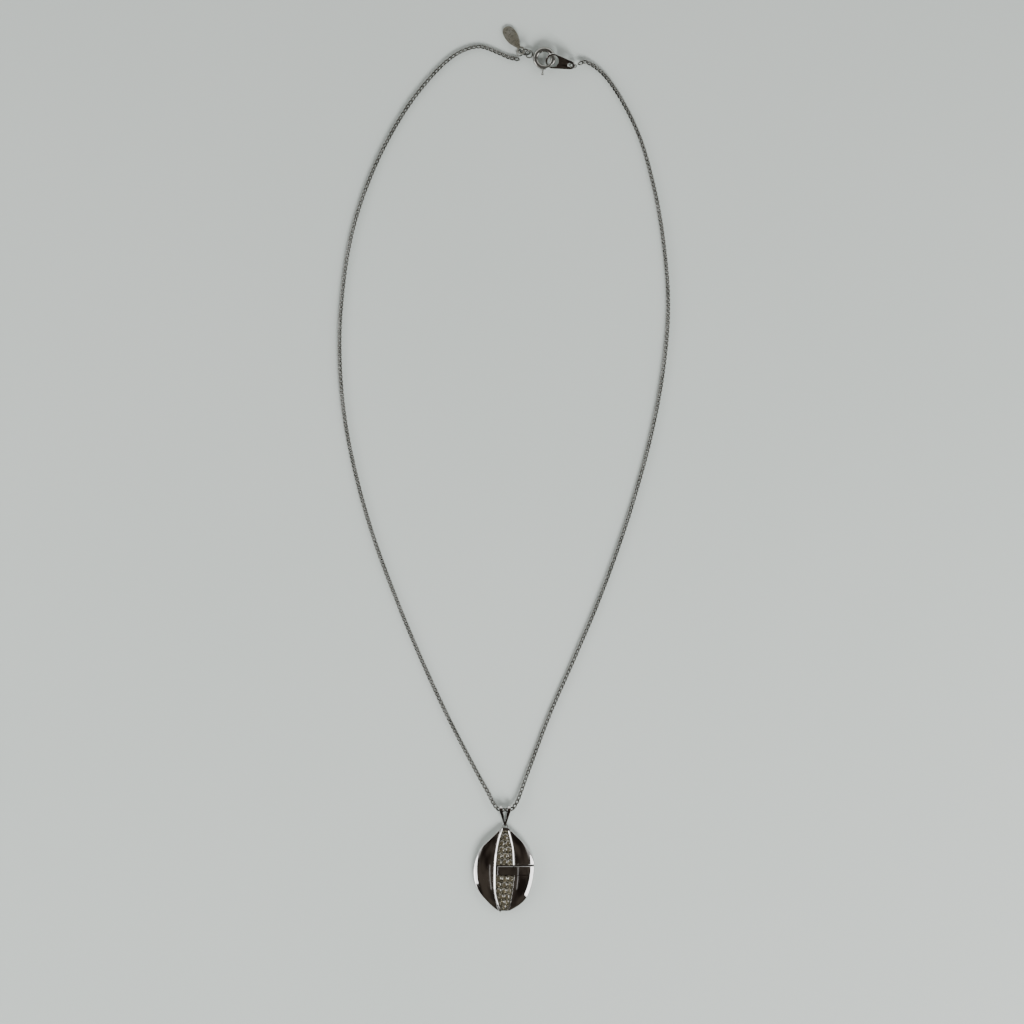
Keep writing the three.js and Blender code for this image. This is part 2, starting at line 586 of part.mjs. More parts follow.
function addChain(jumpCentre) {
  const route = new THREE.CatmullRomCurve3(CHAIN_ROUTE.map(vector), false, 'centripetal');
  route.getUtoTmapping = (u) => u; // steps evenly shared between the points, not along the length
  const section = circleShape(CHAIN_RADIUS, CHAIN_SIDES);
  const chain = new THREE.ExtrudeGeometry(section, {
    extrudePath: route, steps: 2 * (CHAIN_ROUTE.length - 1), bevelEnabled: false,
  });
  addPiece(necklace, 'chain', chain, CHAIN_METAL);

  const ring = addPiece(
    necklace, 'chain_end_ring_left',
    new THREE.TorusGeometry(END_RADIUS, END_WIRE, ...RING_SEGMENTS), PLATED);
  ring.position.copy(jumpCentre).add(onJumpRing(CHAIN_ON_JUMP));
  ring.position.x -= LEFT_END_SLACK;
  ring.rotation.set(...LEFT_END_TILT.map(radians), 0);
}

addPendant();
addBail();
const jumpCentre = addJumpRing(addClasp());
addHangTag(jumpCentre);
addTab();
addChain(jumpCentre);

export default necklace;
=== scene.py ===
# A pendant necklace lying on a pale surface, seen from above. Metres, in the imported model's frame:
# +Z up from the surface, +Y from the pendant to the clasp.
import math

import bmesh
import bpy
import numpy as np
from mathutils import Euler, Matrix, Vector


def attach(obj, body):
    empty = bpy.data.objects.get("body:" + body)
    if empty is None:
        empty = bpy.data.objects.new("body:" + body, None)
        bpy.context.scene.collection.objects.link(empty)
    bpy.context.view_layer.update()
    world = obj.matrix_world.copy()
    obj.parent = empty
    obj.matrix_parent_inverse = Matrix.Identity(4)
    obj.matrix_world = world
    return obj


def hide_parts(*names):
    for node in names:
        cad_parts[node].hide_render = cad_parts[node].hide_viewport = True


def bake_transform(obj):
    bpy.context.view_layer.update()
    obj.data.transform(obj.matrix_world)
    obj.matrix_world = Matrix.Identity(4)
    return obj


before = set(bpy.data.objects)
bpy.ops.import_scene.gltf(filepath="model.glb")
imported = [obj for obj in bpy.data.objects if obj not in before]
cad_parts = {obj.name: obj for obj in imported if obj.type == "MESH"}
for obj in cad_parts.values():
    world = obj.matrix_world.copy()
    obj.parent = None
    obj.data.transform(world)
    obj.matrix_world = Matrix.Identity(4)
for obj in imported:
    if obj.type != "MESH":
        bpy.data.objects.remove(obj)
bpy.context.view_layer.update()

MM = 0.001
UP = np.array([0.0, 0.0, 1.0])

# ---- camera ----

VIEW_WIDTH = 266.24 * MM
VIEW_CENTRE = (2.1 * MM, -10.85 * MM)
CAMERA_HEIGHT = 1500 * MM
SENSOR = 36.0


def make_camera():
    data = bpy.data.cameras.new("camera")
    data.sensor_width = SENSOR
    data.lens = SENSOR * CAMERA_HEIGHT / VIEW_WIDTH
    data.clip_start = 0.01
    camera = bpy.data.objects.new("camera", data)
    camera.location = (*VIEW_CENTRE, CAMERA_HEIGHT)
    bpy.context.collection.objects.link(camera)
    bpy.context.scene.camera = camera


make_camera()

# ---- curves ----


def smooth_line(points, per_span):
    """A uniform Catmull-Rom spline through points, its ends held."""
    p = np.array(points, float)
    padded = np.vstack([p[:1], p, p[-1:]])
    out = []
    for i in range(len(p) - 1):
        a, b, c, d = padded[i : i + 4]
        v0, v1 = (c - a) / 2, (d - b) / 2
        cubic, square = 2 * b - 2 * c + v0 + v1, 3 * c - 3 * b - 2 * v0 - v1
        for t in np.arange(per_span) / per_span:
            out.append(cubic * t**3 + square * t**2 + v0 * t + b)
    return np.array([*out, p[-1]])


def centripetal(points, per_span):
    """A centripetal Catmull-Rom spline through points."""
    p = np.array(points, float)
    padded = np.vstack([2 * p[:1] - p[1:2], p, 2 * p[-1:] - p[-2:-1]])
    out = []
    for i in range(len(p) - 1):
        a, b, c, d = padded[i : i + 4]
        s0, s1, s2 = (max(np.linalg.norm(q), 1e-9) ** 0.5 for q in (b - a, c - b, d - c))
        v0 = ((b - a) / s0 - (c - a) / (s0 + s1) + (c - b) / s1) * s1
        v1 = ((c - b) / s1 - (d - b) / (s1 + s2) + (d - c) / s2) * s1
        cubic, square = 2 * b - 2 * c + v0 + v1, 3 * c - 3 * b - 2 * v0 - v1
        for t in np.arange(per_span) / per_span:
            out.append(b + v0 * t + square * t**2 + cubic * t**3)
    return np.array([*out, p[-1]])


def unit(v):
    return v / np.linalg.norm(v, axis=-1, keepdims=True)


def lengths_along(line):
    return np.concatenate([[0], np.cumsum(np.linalg.norm(np.diff(line, axis=0), axis=1))])


# ---- pieces ----


def add_mesh(name, verts, faces, material, body, replaces=(), sharp=40):
    mesh = bpy.data.meshes.new(name)
    mesh.from_pydata([tuple(v) for v in verts], [], [tuple(int(i) for i in f) for f in faces])
    mesh.validate()
    return add_piece(name, mesh, material, body, replaces, sharp)


def add_piece(name, mesh, material, body, replaces=(), sharp=40):
    mesh.polygons.foreach_set("use_smooth", [True] * len(mesh.polygons))
    mesh.set_sharp_from_angle(angle=math.radians(sharp))
    mesh.materials.clear()
    mesh.materials.append(material)
    piece = bpy.data.objects.new(name, mesh)
    bpy.context.collection.objects.link(piece)
    if body:
        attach(piece, body)
    if replaces:
        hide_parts(*replaces)
    return piece


def moved(verts, matrix):
    m = np.array(matrix)
    return np.asarray(verts) @ m[:3, :3].T + m[:3, 3]


def placed(at, turn=(0, 0, 0)):
    """A matrix from a place in mm and degrees about X, Y and Z, turned in that order."""
    rotation = Euler([math.radians(a) for a in turn], "XYZ").to_matrix().to_4x4()
    return Matrix.Translation(Vector(at) * MM) @ rotation


def tube_faces(rings, sides, closed):
    faces = []
    for i in range(rings if closed else rings - 1):
        j = (i + 1) % rings
        for k in range(sides):
            m = (k + 1) % sides
            faces.append((i * sides + k, j * sides + k, j * sides + m, i * sides + m))
    if not closed:
        faces.append(tuple(range(sides))[::-1])
        faces.append(tuple((rings - 1) * sides + k for k in range(sides)))
    return faces


def sweep(line, across, radius, sides, closed):
    """A round wire along a line. across is a direction for each point, roughly square to it."""
    n = len(line)
    if closed:
        tangent = unit(np.roll(line, -1, 0) - np.roll(line, 1, 0))
    else:
        tangent = unit(np.gradient(line, axis=0))
    side = unit(np.cross(tangent, across))
    up = np.cross(side, tangent)
    turn = np.arange(sides) * 2 * math.pi / sides
    r = np.broadcast_to(np.asarray(radius, float), (n,))
    ring = r[:, None, None] * (
        np.cos(turn)[None, :, None] * side[:, None] + np.sin(turn)[None, :, None] * up[:, None]
    )
    return (line[:, None] + ring).reshape(-1, 3), tube_faces(n, sides, closed)


def circle_line(radius, arc=(0, 360), steps=64):
    closed = arc[1] - arc[0] >= 360
    turn = np.radians(np.linspace(*arc, steps + 1))[: steps if closed else None]
    return np.stack([radius * np.cos(turn), radius * np.sin(turn), 0 * turn], 1)


# ---- materials ----


def new_material(name):
    material = bpy.data.materials.new(name)
    material.use_nodes = True
    nodes = material.node_tree.nodes
    return material, nodes, material.node_tree.links, nodes["Principled BSDF"]


def noise(nodes, links, scale, detail, distortion=0.0):
    texture = nodes.new("ShaderNodeTexNoise")
    texture.inputs["Scale"].default_value = scale
    texture.inputs["Detail"].default_value = detail
    texture.inputs["Distortion"].default_value = distortion
    place = nodes.new("ShaderNodeTexCoord")
    links.new(place.outputs["Object"], texture.inputs["Vector"])
    return texture.outputs["Fac"]


def remap(nodes, links, value, low, high, from_low=0.0, from_high=1.0):
    node = nodes.new("ShaderNodeMapRange")
    node.inputs["From Min"].default_value = from_low
    node.inputs["From Max"].default_value = from_high
    node.inputs["To Min"].default_value = low
    node.inputs["To Max"].default_value = high
    links.new(value, node.inputs["Value"])
    return node.outputs["Result"]


def mix_colors(nodes, links, factor, a, b):
    node = nodes.new("ShaderNodeMix")
    node.data_type = "RGBA"
    node.inputs["A"].default_value = (*a, 1)
    node.inputs["B"].default_value = (*b, 1)
    links.new(factor, node.inputs["Factor"])
    return node.outputs["Result"]


def bump(nodes, links, shader, height, strength, distance):
    node = nodes.new("ShaderNodeBump")
    node.inputs["Strength"].default_value = strength
    node.inputs["Distance"].default_value = distance
    links.new(height, node.inputs["Height"])
    links.new(node.outputs["Normal"], shader.inputs["Normal"])


def metal(name, light, dark, rough, grain, grain_depth, metallic=1.0):
    """Polished metal: faint clouding of its colour, and fine handling marks in its polish."""
    material, nodes, links, shader = new_material(name)
    shader.inputs["Metallic"].default_value = metallic
    clouds = remap(nodes, links, noise(nodes, links, 420, 3), 0, 1, 0.3, 0.7)
    links.new(mix_colors(nodes, links, clouds, dark, light), shader.inputs["Base Color"])
    marks = noise(nodes, links, grain, 4, 0.6)
    links.new(remap(nodes, links, marks, *rough, 0.3, 0.7), shader.inputs["Roughness"])
    bump(nodes, links, shader, marks, 0.25, grain_depth)
    return material


plated = metal(
    "plated_metal", light=(0.56, 0.555, 0.55), dark=(0.5, 0.49, 0.48), rough=(0.03, 0.09),
    grain=2600, grain_depth=0.4e-6)
chain_metal = metal(
    "chain_metal", light=(0.25, 0.25, 0.235), dark=(0.16, 0.158, 0.145), rough=(0.08, 0.2),
    grain=5200, grain_depth=0.5e-6)
bed_metal = metal(
    "bed_metal", light=(0.34, 0.32, 0.25), dark=(0.2, 0.18, 0.13), rough=(0.16, 0.34),
    grain=6000, grain_depth=1.5e-6)
spring_steel = metal(
    "spring_steel", light=(0.6, 0.61, 0.62), dark=(0.45, 0.45, 0.45), rough=(0.2, 0.35),
    grain=5000, grain_depth=1e-6)
clasp_metal = metal(
    "clasp_metal", light=(0.33, 0.332, 0.312), dark=(0.26, 0.258, 0.238), rough=(0.08, 0.16),
    grain=3000, grain_depth=0.5e-6, metallic=0.88)
stamped = metal(
    "stamped_metal", light=(0.27, 0.27, 0.245), dark=(0.15, 0.14, 0.1), rough=(0.2, 0.4),
    grain=1500, grain_depth=14e-6, metallic=0.55)

STONE_LIGHT = (0.27, 0.24, 0.16)
STONE_DARK = (0.19, 0.165, 0.105)


def make_stone_material():
    """Cut crystal with a champagne tint, darker in faint patches."""
    material, nodes, links, shader = new_material("champagne_stone")
    patches = remap(nodes, links, noise(nodes, links, 900, 2), 0, 1, 0.35, 0.65)
    tint = mix_colors(nodes, links, patches, STONE_LIGHT, STONE_DARK)
    links.new(tint, shader.inputs["Base Color"])
    shader.inputs["Roughness"].default_value = 0.0
    shader.inputs["IOR"].default_value = 2.2
    shader.inputs["Transmission Weight"].default_value = 0.8
    return material


stone_material = make_stone_material()

# ---- chain ----

CHAIN_WIDTH = 1.12 * MM
CHAIN_ROUTE_MM = [
    (3.8, 106.8, 0.66), (1.6, 107.2, 0.62), (-1.0, 108.3, 0.62), (-6.2, 110.1, 0.62),
    (-11.4, 108.7, 0.62), (-16.3, 105.0, 0.62), (-23.9, 96.1, 0.62), (-30.6, 85.1, 0.62),
    (-35.9, 73.2, 0.62), (-39.7, 60.8, 0.62), (-41.9, 46.7, 0.62), (-42.7, 32.4, 0.62),
    (-41.7, 16.0, 0.62), (-38.9, 0.6, 0.62), (-34.3, -16.1, 0.62), (-28.4, -32.4, 0.62),
    (-21.8, -48.4, 0.62), (-14.5, -64.2, 0.62), (-6.5, -79.5, 0.7), (-4.2, -83.6, 0.9),
    (-2.6, -86.7, 1.15), (-1.5, -87.95, 1.25), (0.3, -88.2, 1.27), (2.1, -87.95, 1.25),
    (3.1, -86.7, 1.15), (6.2, -78.6, 0.7), (11.8, -63.7, 0.62), (18.2, -49.1, 0.62),
    (24.4, -34.5, 0.62), (29.9, -19.6, 0.62), (34.7, -4.4, 0.62), (38.7, 11.0, 0.62),
    (41.5, 26.7, 0.62), (42.7, 42.5, 0.62), (41.6, 58.4, 0.62), (38.9, 74.0, 0.62),
    (34.2, 89.2, 0.62), (26.0, 102.8, 0.62), (21.2, 106.1, 0.8), (19.5, 105.6, 1.2),
]
ROUTE_STEPS = 24  # from each point of the route to the next
LINK_PITCH = 1.17 * MM
LINK_WIRE = 0.205 * MM  # radius
LINK_REACH = 1.06 * LINK_WIRE  # the wire's middle runs this far past half the pitch
LINK_TWIST = math.radians(48)
LINK_FLAT = 0.36 * MM  # its faces are ground flat this far from its middle
LINK_DROP = 0.12 * MM  # the links' middle lies this far below the route
LINK_STEPS = 24
LINK_SIDES = 8
LINK_ROLLS = ((14, 9 * MM, 0), (10, 23.7 * MM, 1.3))  # degrees, length along the chain, phase


def one_link():
    """A twisted oval link about the origin, along X, ground flat above and below."""
    half_length = LINK_PITCH / 2 + LINK_REACH
    half_width = CHAIN_WIDTH / 2 - LINK_WIRE
    turn = np.arange(LINK_STEPS) * 2 * math.pi / LINK_STEPS
    x, across = half_length * np.cos(turn), half_width * np.sin(turn)
    twist = LINK_TWIST * np.cos(turn)
    line = np.stack([x, across * np.cos(twist), across * np.sin(twist)], 1)
    flat = np.stack([0 * x, -np.sin(twist), np.cos(twist)], 1)
    verts, faces = sweep(line, flat, LINK_WIRE, LINK_SIDES, True)
    verts[:, 2] = np.clip(verts[:, 2], -LINK_FLAT, LINK_FLAT)
    return verts, faces


def make_chain():
    route = centripetal(np.array(CHAIN_ROUTE_MM) * MM, ROUTE_STEPS)
    along = lengths_along(route)

    def route_at(s):
        return np.array([np.interp(s, along, route[:, k]) for k in range(3)])

    count = round(along[-1] / LINK_PITCH)
    verts, faces = one_link()
    all_verts, all_faces = [], []
    for i in range(count):
        s = (i + 0.5) * along[-1] / count
        forward = unit(route_at(s + LINK_PITCH / 2) - route_at(s - LINK_PITCH / 2))
        side = unit(np.cross(UP, forward))
        up = np.cross(forward, side)
        roll = math.radians(sum(sway * math.sin(s / length + phase) for sway, length, phase in LINK_ROLLS))
        cos, sin = math.cos(roll), math.sin(roll)
        basis = np.stack([forward, side * cos + up * sin, up * cos - side * sin])
        all_faces += [tuple(k + i * len(verts) for k in f) for f in faces]
        all_verts.append(verts @ basis + route_at(s) - LINK_DROP * UP)
    chain = add_mesh(
        "chain_links", np.vstack(all_verts), all_faces, chain_metal, "chain", ["chain"], 50)


make_chain()

# ---- pendant ----

PENDANT_AT = np.array([0, -103.8, 0]) * MM
PLATE_TOP = 0.5 * MM
PIECE_BOTTOM = 0.52 * MM
DOME_AT_RIM = np.array([8.6, 12, 2.9]) * MM
DOME_OF_WALLS = np.array([8.75, 12.15, 3.1]) * MM
DOME_OF_BEDS = np.array([8.2, 11.6, 2.3]) * MM
SPLIT_Y = 1.15 * MM
SPLIT_HALF = 0.15 * MM
WALL_HALF = 0.21 * MM
GROOVE = 0.05 * MM
LOBE_END = -10.72 * MM
BAND_BOTTOM = -1.35 * MM
FLAG_LEFT = -1.66 * MM
OUTLINE_LEFT = [
    (-0.65, 11.2), (-2.0, 9.6), (-4.0, 7.7), (-5.8, 5.9), (-7.0, 3.7), (-7.75, 1.25),
    (-7.95, -1.2), (-7.45, -4.0), (-6.5, -5.8), (-4.8, -7.8), (-2.8, -9.7), (-1.2, -10.9),
]
OUTLINE_RIGHT = [
    (1.2, 11.0), (2.95, 9.2), (4.95, 7.2), (6.45, 5.2), (7.5, 3.25), (7.95, 1.4),
    (7.75, -1.2), (7.2, -4.0), (5.95, -7.2), (3.95, -9.2), (1.0, -10.9),
]
LEFT_WALL = [
    (-0.5, 10.6), (-1.4, 7.9), (-1.95, 4.9), (-2.3, 1.8), (-2.42, -2.9), (-2.26, -6.0),
    (-1.6, -8.85), (-0.98, -10.95),
]
RIGHT_WALL = [(1.2, 10.3), (1.9, 7.7), (2.42, 4.95), (2.57, 1.0)]
FLAG = [(2.72, -1.7), (2.3, -4.6), (1.95, -7.0), (1.45, -9.4), (0.75, -10.75)]
LEFT_LOBE_TOP = 10.5 * MM
RIGHT_LOBE_TOP = 10.2 * MM
LOBE_ROUNDING = 0.16 * MM
FLAG_ROUNDING = 0.08 * MM
LEFT_WALL_TOP = 10.8 * MM
LEFT_WALL_FOOT = -11.08 * MM
LEFT_WALL_ROUNDING = 0.04 * MM
RIGHT_WALL_TOP = 10.2 * MM
RIGHT_WALL_ROUNDING = 0.09 * MM
WALL_TILT = math.tan(math.radians(34))
WALL_COLUMNS = 10
FIELD_TOP = 10.1 * MM
FIELD_FOOT = -10.5 * MM
BED_ROUNDING = 0.03 * MM
THINNEST = 0.02 * MM

STONES = {
    "upper": [
        (0.36, 8.72, 1.6), (-0.5, 7.05, 1.45), (1.12, 7.05, 1.38), (-0.62, 5.4, 1.5),
        (1.24, 5.4, 1.5), (-1.22, 3.78, 1.36), (0.28, 3.86, 1.36), (1.66, 3.72, 1.22),
        (-1.24, 2.2, 1.36), (0.28, 2.26, 1.4), (1.68, 2.16, 1.24),
    ],
    "lower": [
        (-1.38, -2.15, 1.4), (0.2, -2.2, 1.44), (1.72, -2.2, 1.4), (-1.44, -3.75, 1.4),
        (0.1, -3.8, 1.42), (1.54, -3.8, 1.26), (-1.4, -5.3, 1.34), (0.0, -5.4, 1.3),
        (1.32, -5.35, 1.18), (-0.8, -6.9, 1.42), (0.76, -6.9, 1.42), (-0.55, -8.35, 1.2),
        (0.72, -8.3, 1.16), (0.02, -9.6, 1.16),
    ],
}
STONE_PROUD = 0.08 * MM


def line_x(points, aside=0.0):
    """A function from y to x along a line that runs from top to foot, moved to its left."""
    line = smooth_line(np.array(points) * MM, 16)
    along = unit(np.gradient(line, axis=0))
    line = line + aside * np.stack([-along[:, 1], along[:, 0]], 1)
    order = np.argsort(line[:, 1])
    return lambda y: np.interp(y, line[order, 1], line[order, 0])


def dome_height(x, y, dome):
    a, b, c = dome
    return c * np.sqrt(np.clip(1 - (x / a) ** 2 - (y / b) ** 2, 0.02, 1))


def patch(left, right, top, foot, height, edge, rows, columns, left_edge=None):
    """A closed slab between two lines in plan, with a shaped top whose rim is rounded off."""
    share = (1 - np.cos(np.linspace(0, math.pi, columns))) / 2
    y_share = (1 - np.cos(np.linspace(0, math.pi, rows))) / 2
    y = (top + (foot - top) * (0.35 * y_share + 0.65 * np.linspace(0, 1, rows)))[:, None]
    x_left, x_right = left(y), right(y)
    x = x_left + (x_right - x_left) * share[None, :]
    y = np.broadcast_to(y, x.shape)
    from_left = (x - x_left) * edge / (left_edge or edge)
    inward = np.minimum(np.minimum(from_left, x_right - x), np.minimum(top - y, y - foot))
    into = np.clip(edge - inward, 0, edge)
    z = np.maximum(height(x, y) - (edge - np.sqrt(edge**2 - into**2)), PIECE_BOTTOM + THINNEST)
    over = np.stack([x, y, z], 2).reshape(-1, 3)
    under = over.copy()
    under[:, 2] = PIECE_BOTTOM
    n = rows * columns
    index = np.arange(n).reshape(rows, columns)
    a, b, c, d = index[:-1, :-1], index[1:, :-1], index[1:, 1:], index[:-1, 1:]
    cells = np.stack([a, b, c, d], 2).reshape(-1, 4)
    faces = [*cells.tolist(), *(cells[:, ::-1] + n).tolist()]
    rim = [*index[0, :], *index[1:, -1], *index[-1, -2::-1], *index[-2:0:-1, 0]]
    for i, k in enumerate(rim):
        m = rim[(i + 1) % len(rim)]
        faces.append((k, m, m + n, k + n))
    return over, under, faces


def pendant_piece(name, shape, material, replaces, sharp=50):
    over, under, faces = shape
    verts = np.vstack([over, under]) + PENDANT_AT
    return add_mesh(name, verts, faces, material, "pendant", replaces, sharp)


left_outline, right_outline = line_x(OUTLINE_LEFT), line_x(OUTLINE_RIGHT)
upper_end, lower_end = SPLIT_Y + SPLIT_HALF, SPLIT_Y - SPLIT_HALF


def rim_dome(x, y):
    return dome_height(x, y, DOME_AT_RIM)


def make_lobes():
    inner = line_x(LEFT_WALL, -WALL_HALF - GROOVE)
    shape = patch(left_outline, inner, LEFT_LOBE_TOP, LOBE_END, rim_dome, LOBE_ROUNDING, 160, 40)
    pendant_piece("left_lobe_shell", shape, plated, ["left_lobe"])
    inner = line_x(RIGHT_WALL, WALL_HALF + GROOVE)
    shape = patch(inner, right_outline, RIGHT_LOBE_TOP, upper_end, rim_dome, LOBE_ROUNDING, 90, 34)
    pendant_piece("upper_right_lobe_shell", shape, plated, ["upper_right_lobe"])
    flag = line_x(FLAG, GROOVE)

    def flag_edge(y):
        return np.where(y > BAND_BOTTOM, FLAG_LEFT, flag(y))

    shape = patch(
        flag_edge, right_outline, lower_end, LOBE_END, rim_dome, LOBE_ROUNDING, 130, 44, FLAG_ROUNDING)
    pendant_piece("lower_right_lobe_shell", shape, plated, ["lower_right_lobe"])


def make_wall(side, points, top, foot, rounding, rows):
    """A channel wall whose top follows a dome along its middle and leans across it."""
    middle = line_x(points)

    def height(x, y):
        return dome_height(middle(y), y, DOME_OF_WALLS) + WALL_TILT * (x - middle(y))

    left, right = line_x(points, -WALL_HALF), line_x(points, WALL_HALF)
    shape = patch(left, right, top, foot, height, rounding, rows, WALL_COLUMNS)
    pendant_piece(f"{side}_channel_wall_strip", shape, plated, [f"{side}_channel_wall"])


def make_walls():
    make_wall("left", LEFT_WALL, LEFT_WALL_TOP, LEFT_WALL_FOOT, LEFT_WALL_ROUNDING, 150)
    make_wall("right", RIGHT_WALL, RIGHT_WALL_TOP, upper_end, RIGHT_WALL_ROUNDING, 90)


def stone_matrix(x, y):
    a, b, c = DOME_OF_BEDS
    z = float(dome_height(x, y, DOME_OF_BEDS))
    outward = Vector((x / a**2, y / b**2, z / c**2)).normalized()
    turn = Vector((0, 0, 1)).rotation_difference(outward)
    at = Vector((x, y, z)) + outward * STONE_PROUD + Vector(PENDANT_AT)
    return Matrix.Translation(at) @ turn.to_matrix().to_4x4()


def brilliant(radius):
    """A round brilliant about its girdle: table, stars, kites, girdle, pavilion and culet."""
    def ring(count, r, z, turn=0.0):
        angle = (np.arange(count) + turn) * 2 * math.pi / count
        return np.stack([r * np.cos(angle), r * np.sin(angle), np.full(count, z)], 1) * radius

    verts = np.vstack([
        ring(8, 0.56, 0.3), ring(8, 0.8, 0.19, 0.5), ring(16, 1.0, 0.03), ring(16, 1.0, -0.03),
        ring(8, 0.34, -0.55, 0.5), [[0, 0, -0.84 * radius]],
    ])
    table, star, upper, lower, pavilion, culet = 0, 8, 16, 32, 48, 56
    faces = [tuple(range(8))]
    for k in range(8):
        n, before = (k + 1) % 8, (k - 1) % 8
        g, h, i = 2 * k, 2 * k + 1, (2 * k + 2) % 16
        faces += [
            (table + n, table + k, star + k),
            (table + k, star + before, upper + g, star + k),
            (star + k, upper + g, upper + h), (star + k, upper + h, upper + i),
            (upper + g, lower + g, lower + h, upper + h), (upper + h, lower + h, lower + i, upper + i),
            (lower + h, lower + g, pavilion + k), (lower + i, lower + h, pavilion + k),
            (lower + g, pavilion + before, culet, pavilion + k),
        ]
    return verts, faces


GOLDEN_TURN = 137.5


def make_stones():
    for field, stones in STONES.items():
        for i, (x, y, width) in enumerate(stones):
            number = f"{i + 1:02d}"
            verts, faces = brilliant(width * MM / 2)
            spin = Matrix.Rotation(math.radians(GOLDEN_TURN * i), 4, "Z")
            verts = moved(verts, stone_matrix(x * MM, y * MM) @ spin)
            add_mesh(
                f"{field}_brilliant_{number}", verts, faces, stone_material, "pendant",
                [f"{field}_stone_{number}"], 1)


BEAD_SEARCH = 0.06 * MM
BEAD_APART = 0.5 * MM
BEAD_INTO_EDGE = 0.1 * MM
BEAD_LEAST_ROOM = 0.07 * MM
BEAD_OVERLAP = 0.07 * MM
BEAD_LARGEST = 0.22 * MM
BEAD_SHAPE = (1, 1, 0.9)
SEAT_MARGIN = 0.03 * MM
SEAT_LEDGE = 0.12 * MM
SEAT_SLOPE = 0.75
SEAT_DEEPEST = 0.55 * MM


def bead_places(left, right, top, foot, stones):
    """The widest free spots between the stones and along the walls, widest first."""
    xs = np.arange(-3 * MM, 3.2 * MM, BEAD_SEARCH)
    ys = np.arange(foot, top, BEAD_SEARCH)
    x, y = np.meshgrid(xs, ys)
    room = np.minimum(np.minimum(x - left(y), right(y) - x), np.minimum(top - y, y - foot)) + BEAD_INTO_EDGE
    for sx, sy, width in stones:
        room = np.minimum(room, np.hypot(x - sx * MM, y - sy * MM) - width * MM / 2)
    spots = []
    while room.max() > BEAD_LEAST_ROOM:
        i, j = np.unravel_index(room.argmax(), room.shape)
        spots.append((x[i, j], y[i, j], room[i, j]))
        room[np.hypot(x - x[i, j], y - y[i, j]) < BEAD_APART] = 0
    return spots


def make_field(field, left, right, top, foot):
    """A pave bed with a cone seat for each stone, and the beads that hold the stones."""
    stones = STONES[field]

    def height(x, y):
        z = dome_height(x, y, DOME_OF_BEDS)
        for sx, sy, width in stones:
            r = width * MM / 2 + SEAT_MARGIN
            off = np.hypot(x - sx * MM, y - sy * MM)
            depth = SEAT_LEDGE + SEAT_SLOPE * (r - off)
            z = z - np.where(off < r, np.minimum(depth, SEAT_DEEPEST), 0)
        return z

    shape = patch(left, right, top, foot, height, BED_ROUNDING, 190, 90)
    pendant_piece(f"{field}_bed_plate", shape, bed_metal, [f"{field}_pave_bed"], 35)
    sphere = bmesh.new()
    bmesh.ops.create_icosphere(sphere, subdivisions=3, radius=1.0)
    ball = np.array([v.co[:] for v in sphere.verts])
    ball_faces = [[v.index for v in f.verts] for f in sphere.faces]
    sphere.free()
    verts, faces = [], []
    for n, (x, y, room) in enumerate(bead_places(left, right, top, foot, stones)):
        radius = min(room + BEAD_OVERLAP, BEAD_LARGEST)
        at = moved([[0, 0, 0]], stone_matrix(x, y))[0]
        faces += [tuple(k + n * len(ball) for k in f) for f in ball_faces]
        verts.append(ball * radius * BEAD_SHAPE + at)
    add_mesh(f"{field}_beads", np.vstack(verts), faces, bed_metal, "pendant", (), 180)


def make_fields():
    left = line_x(LEFT_WALL, WALL_HALF + GROOVE)
    make_field("upper", left, line_x(RIGHT_WALL, -WALL_HALF - GROOVE), FIELD_TOP, upper_end)
    make_field("lower", left, line_x(FLAG, -GROOVE), BAND_BOTTOM - GROOVE, FIELD_FOOT)


# ---- flat plates, from outlines with rounded edges ----


def plate(name, outlines, thick, bevel, matrix, material, body, replaces):
    """A flat plate from closed outlines in its own plane; outlines after the first are holes."""
    curve = bpy.data.curves.new(name, "CURVE")
    curve.dimensions = "2D"
    curve.fill_mode = "BOTH"
    curve.extrude = thick / 2 - bevel
    curve.bevel_depth = bevel
    curve.bevel_resolution = 3
    curve.offset = -bevel
    for outline in outlines:
        spline = curve.splines.new("POLY")
        spline.points.add(len(outline) - 1)
        for point, (x, y) in zip(spline.points, outline):
            point.co = (x, y, 0, 1)
        spline.use_cyclic_u = True
    holder = bpy.data.objects.new(name + "_outline", curve)
    bpy.context.collection.objects.link(holder)
    bpy.context.view_layer.update()
    mesh = bpy.data.meshes.new_from_object(holder)
    bpy.data.objects.remove(holder)
    bpy.data.curves.remove(curve)
    mesh.name = name
    mesh.transform(matrix)
    work = bmesh.new()
    work.from_mesh(mesh)
    bmesh.ops.remove_doubles(work, verts=work.verts, dist=1e-7)
    bmesh.ops.recalc_face_normals(work, faces=work.faces)
    work.to_mesh(mesh)
    work.free()
    return add_piece(name, mesh, material, body, replaces, 30)


def ellipse(a, b, centre=(0, 0), steps=72):
    turn = np.arange(steps) * 2 * math.pi / steps
    return np.stack([a * np.cos(turn) + centre[0], b * np.sin(turn) + centre[1]], 1)


PLATE_INSET = 0.016  # share by which the plate is smaller than the lobes' outline
PLATE_ROUNDING = 0.08 * MM
LOOP_RADIUS = 0.65 * MM
LOOP_WIRE = 0.12 * MM
LOOP_ARC = (-40, 220)
LOOP_AT = (0.3, -103.8 + 11.78 - 0.65, 0.67)


def make_back_plate():
    left = smooth_line(np.array(OUTLINE_LEFT) * MM, 8)
    right = smooth_line(np.array(OUTLINE_RIGHT) * MM, 8)[::-1]
    outline = np.vstack([left, right])
    centre = outline.mean(0)
    outline = centre + (outline - centre) * (1 - PLATE_INSET)
    middle = Matrix.Translation(Vector(PENDANT_AT) + Vector((0, 0, PLATE_TOP / 2)))
    plate(
        "back_plate", [outline], PLATE_TOP, PLATE_ROUNDING, middle, plated, "pendant",
        ["pendant_back_plate"])


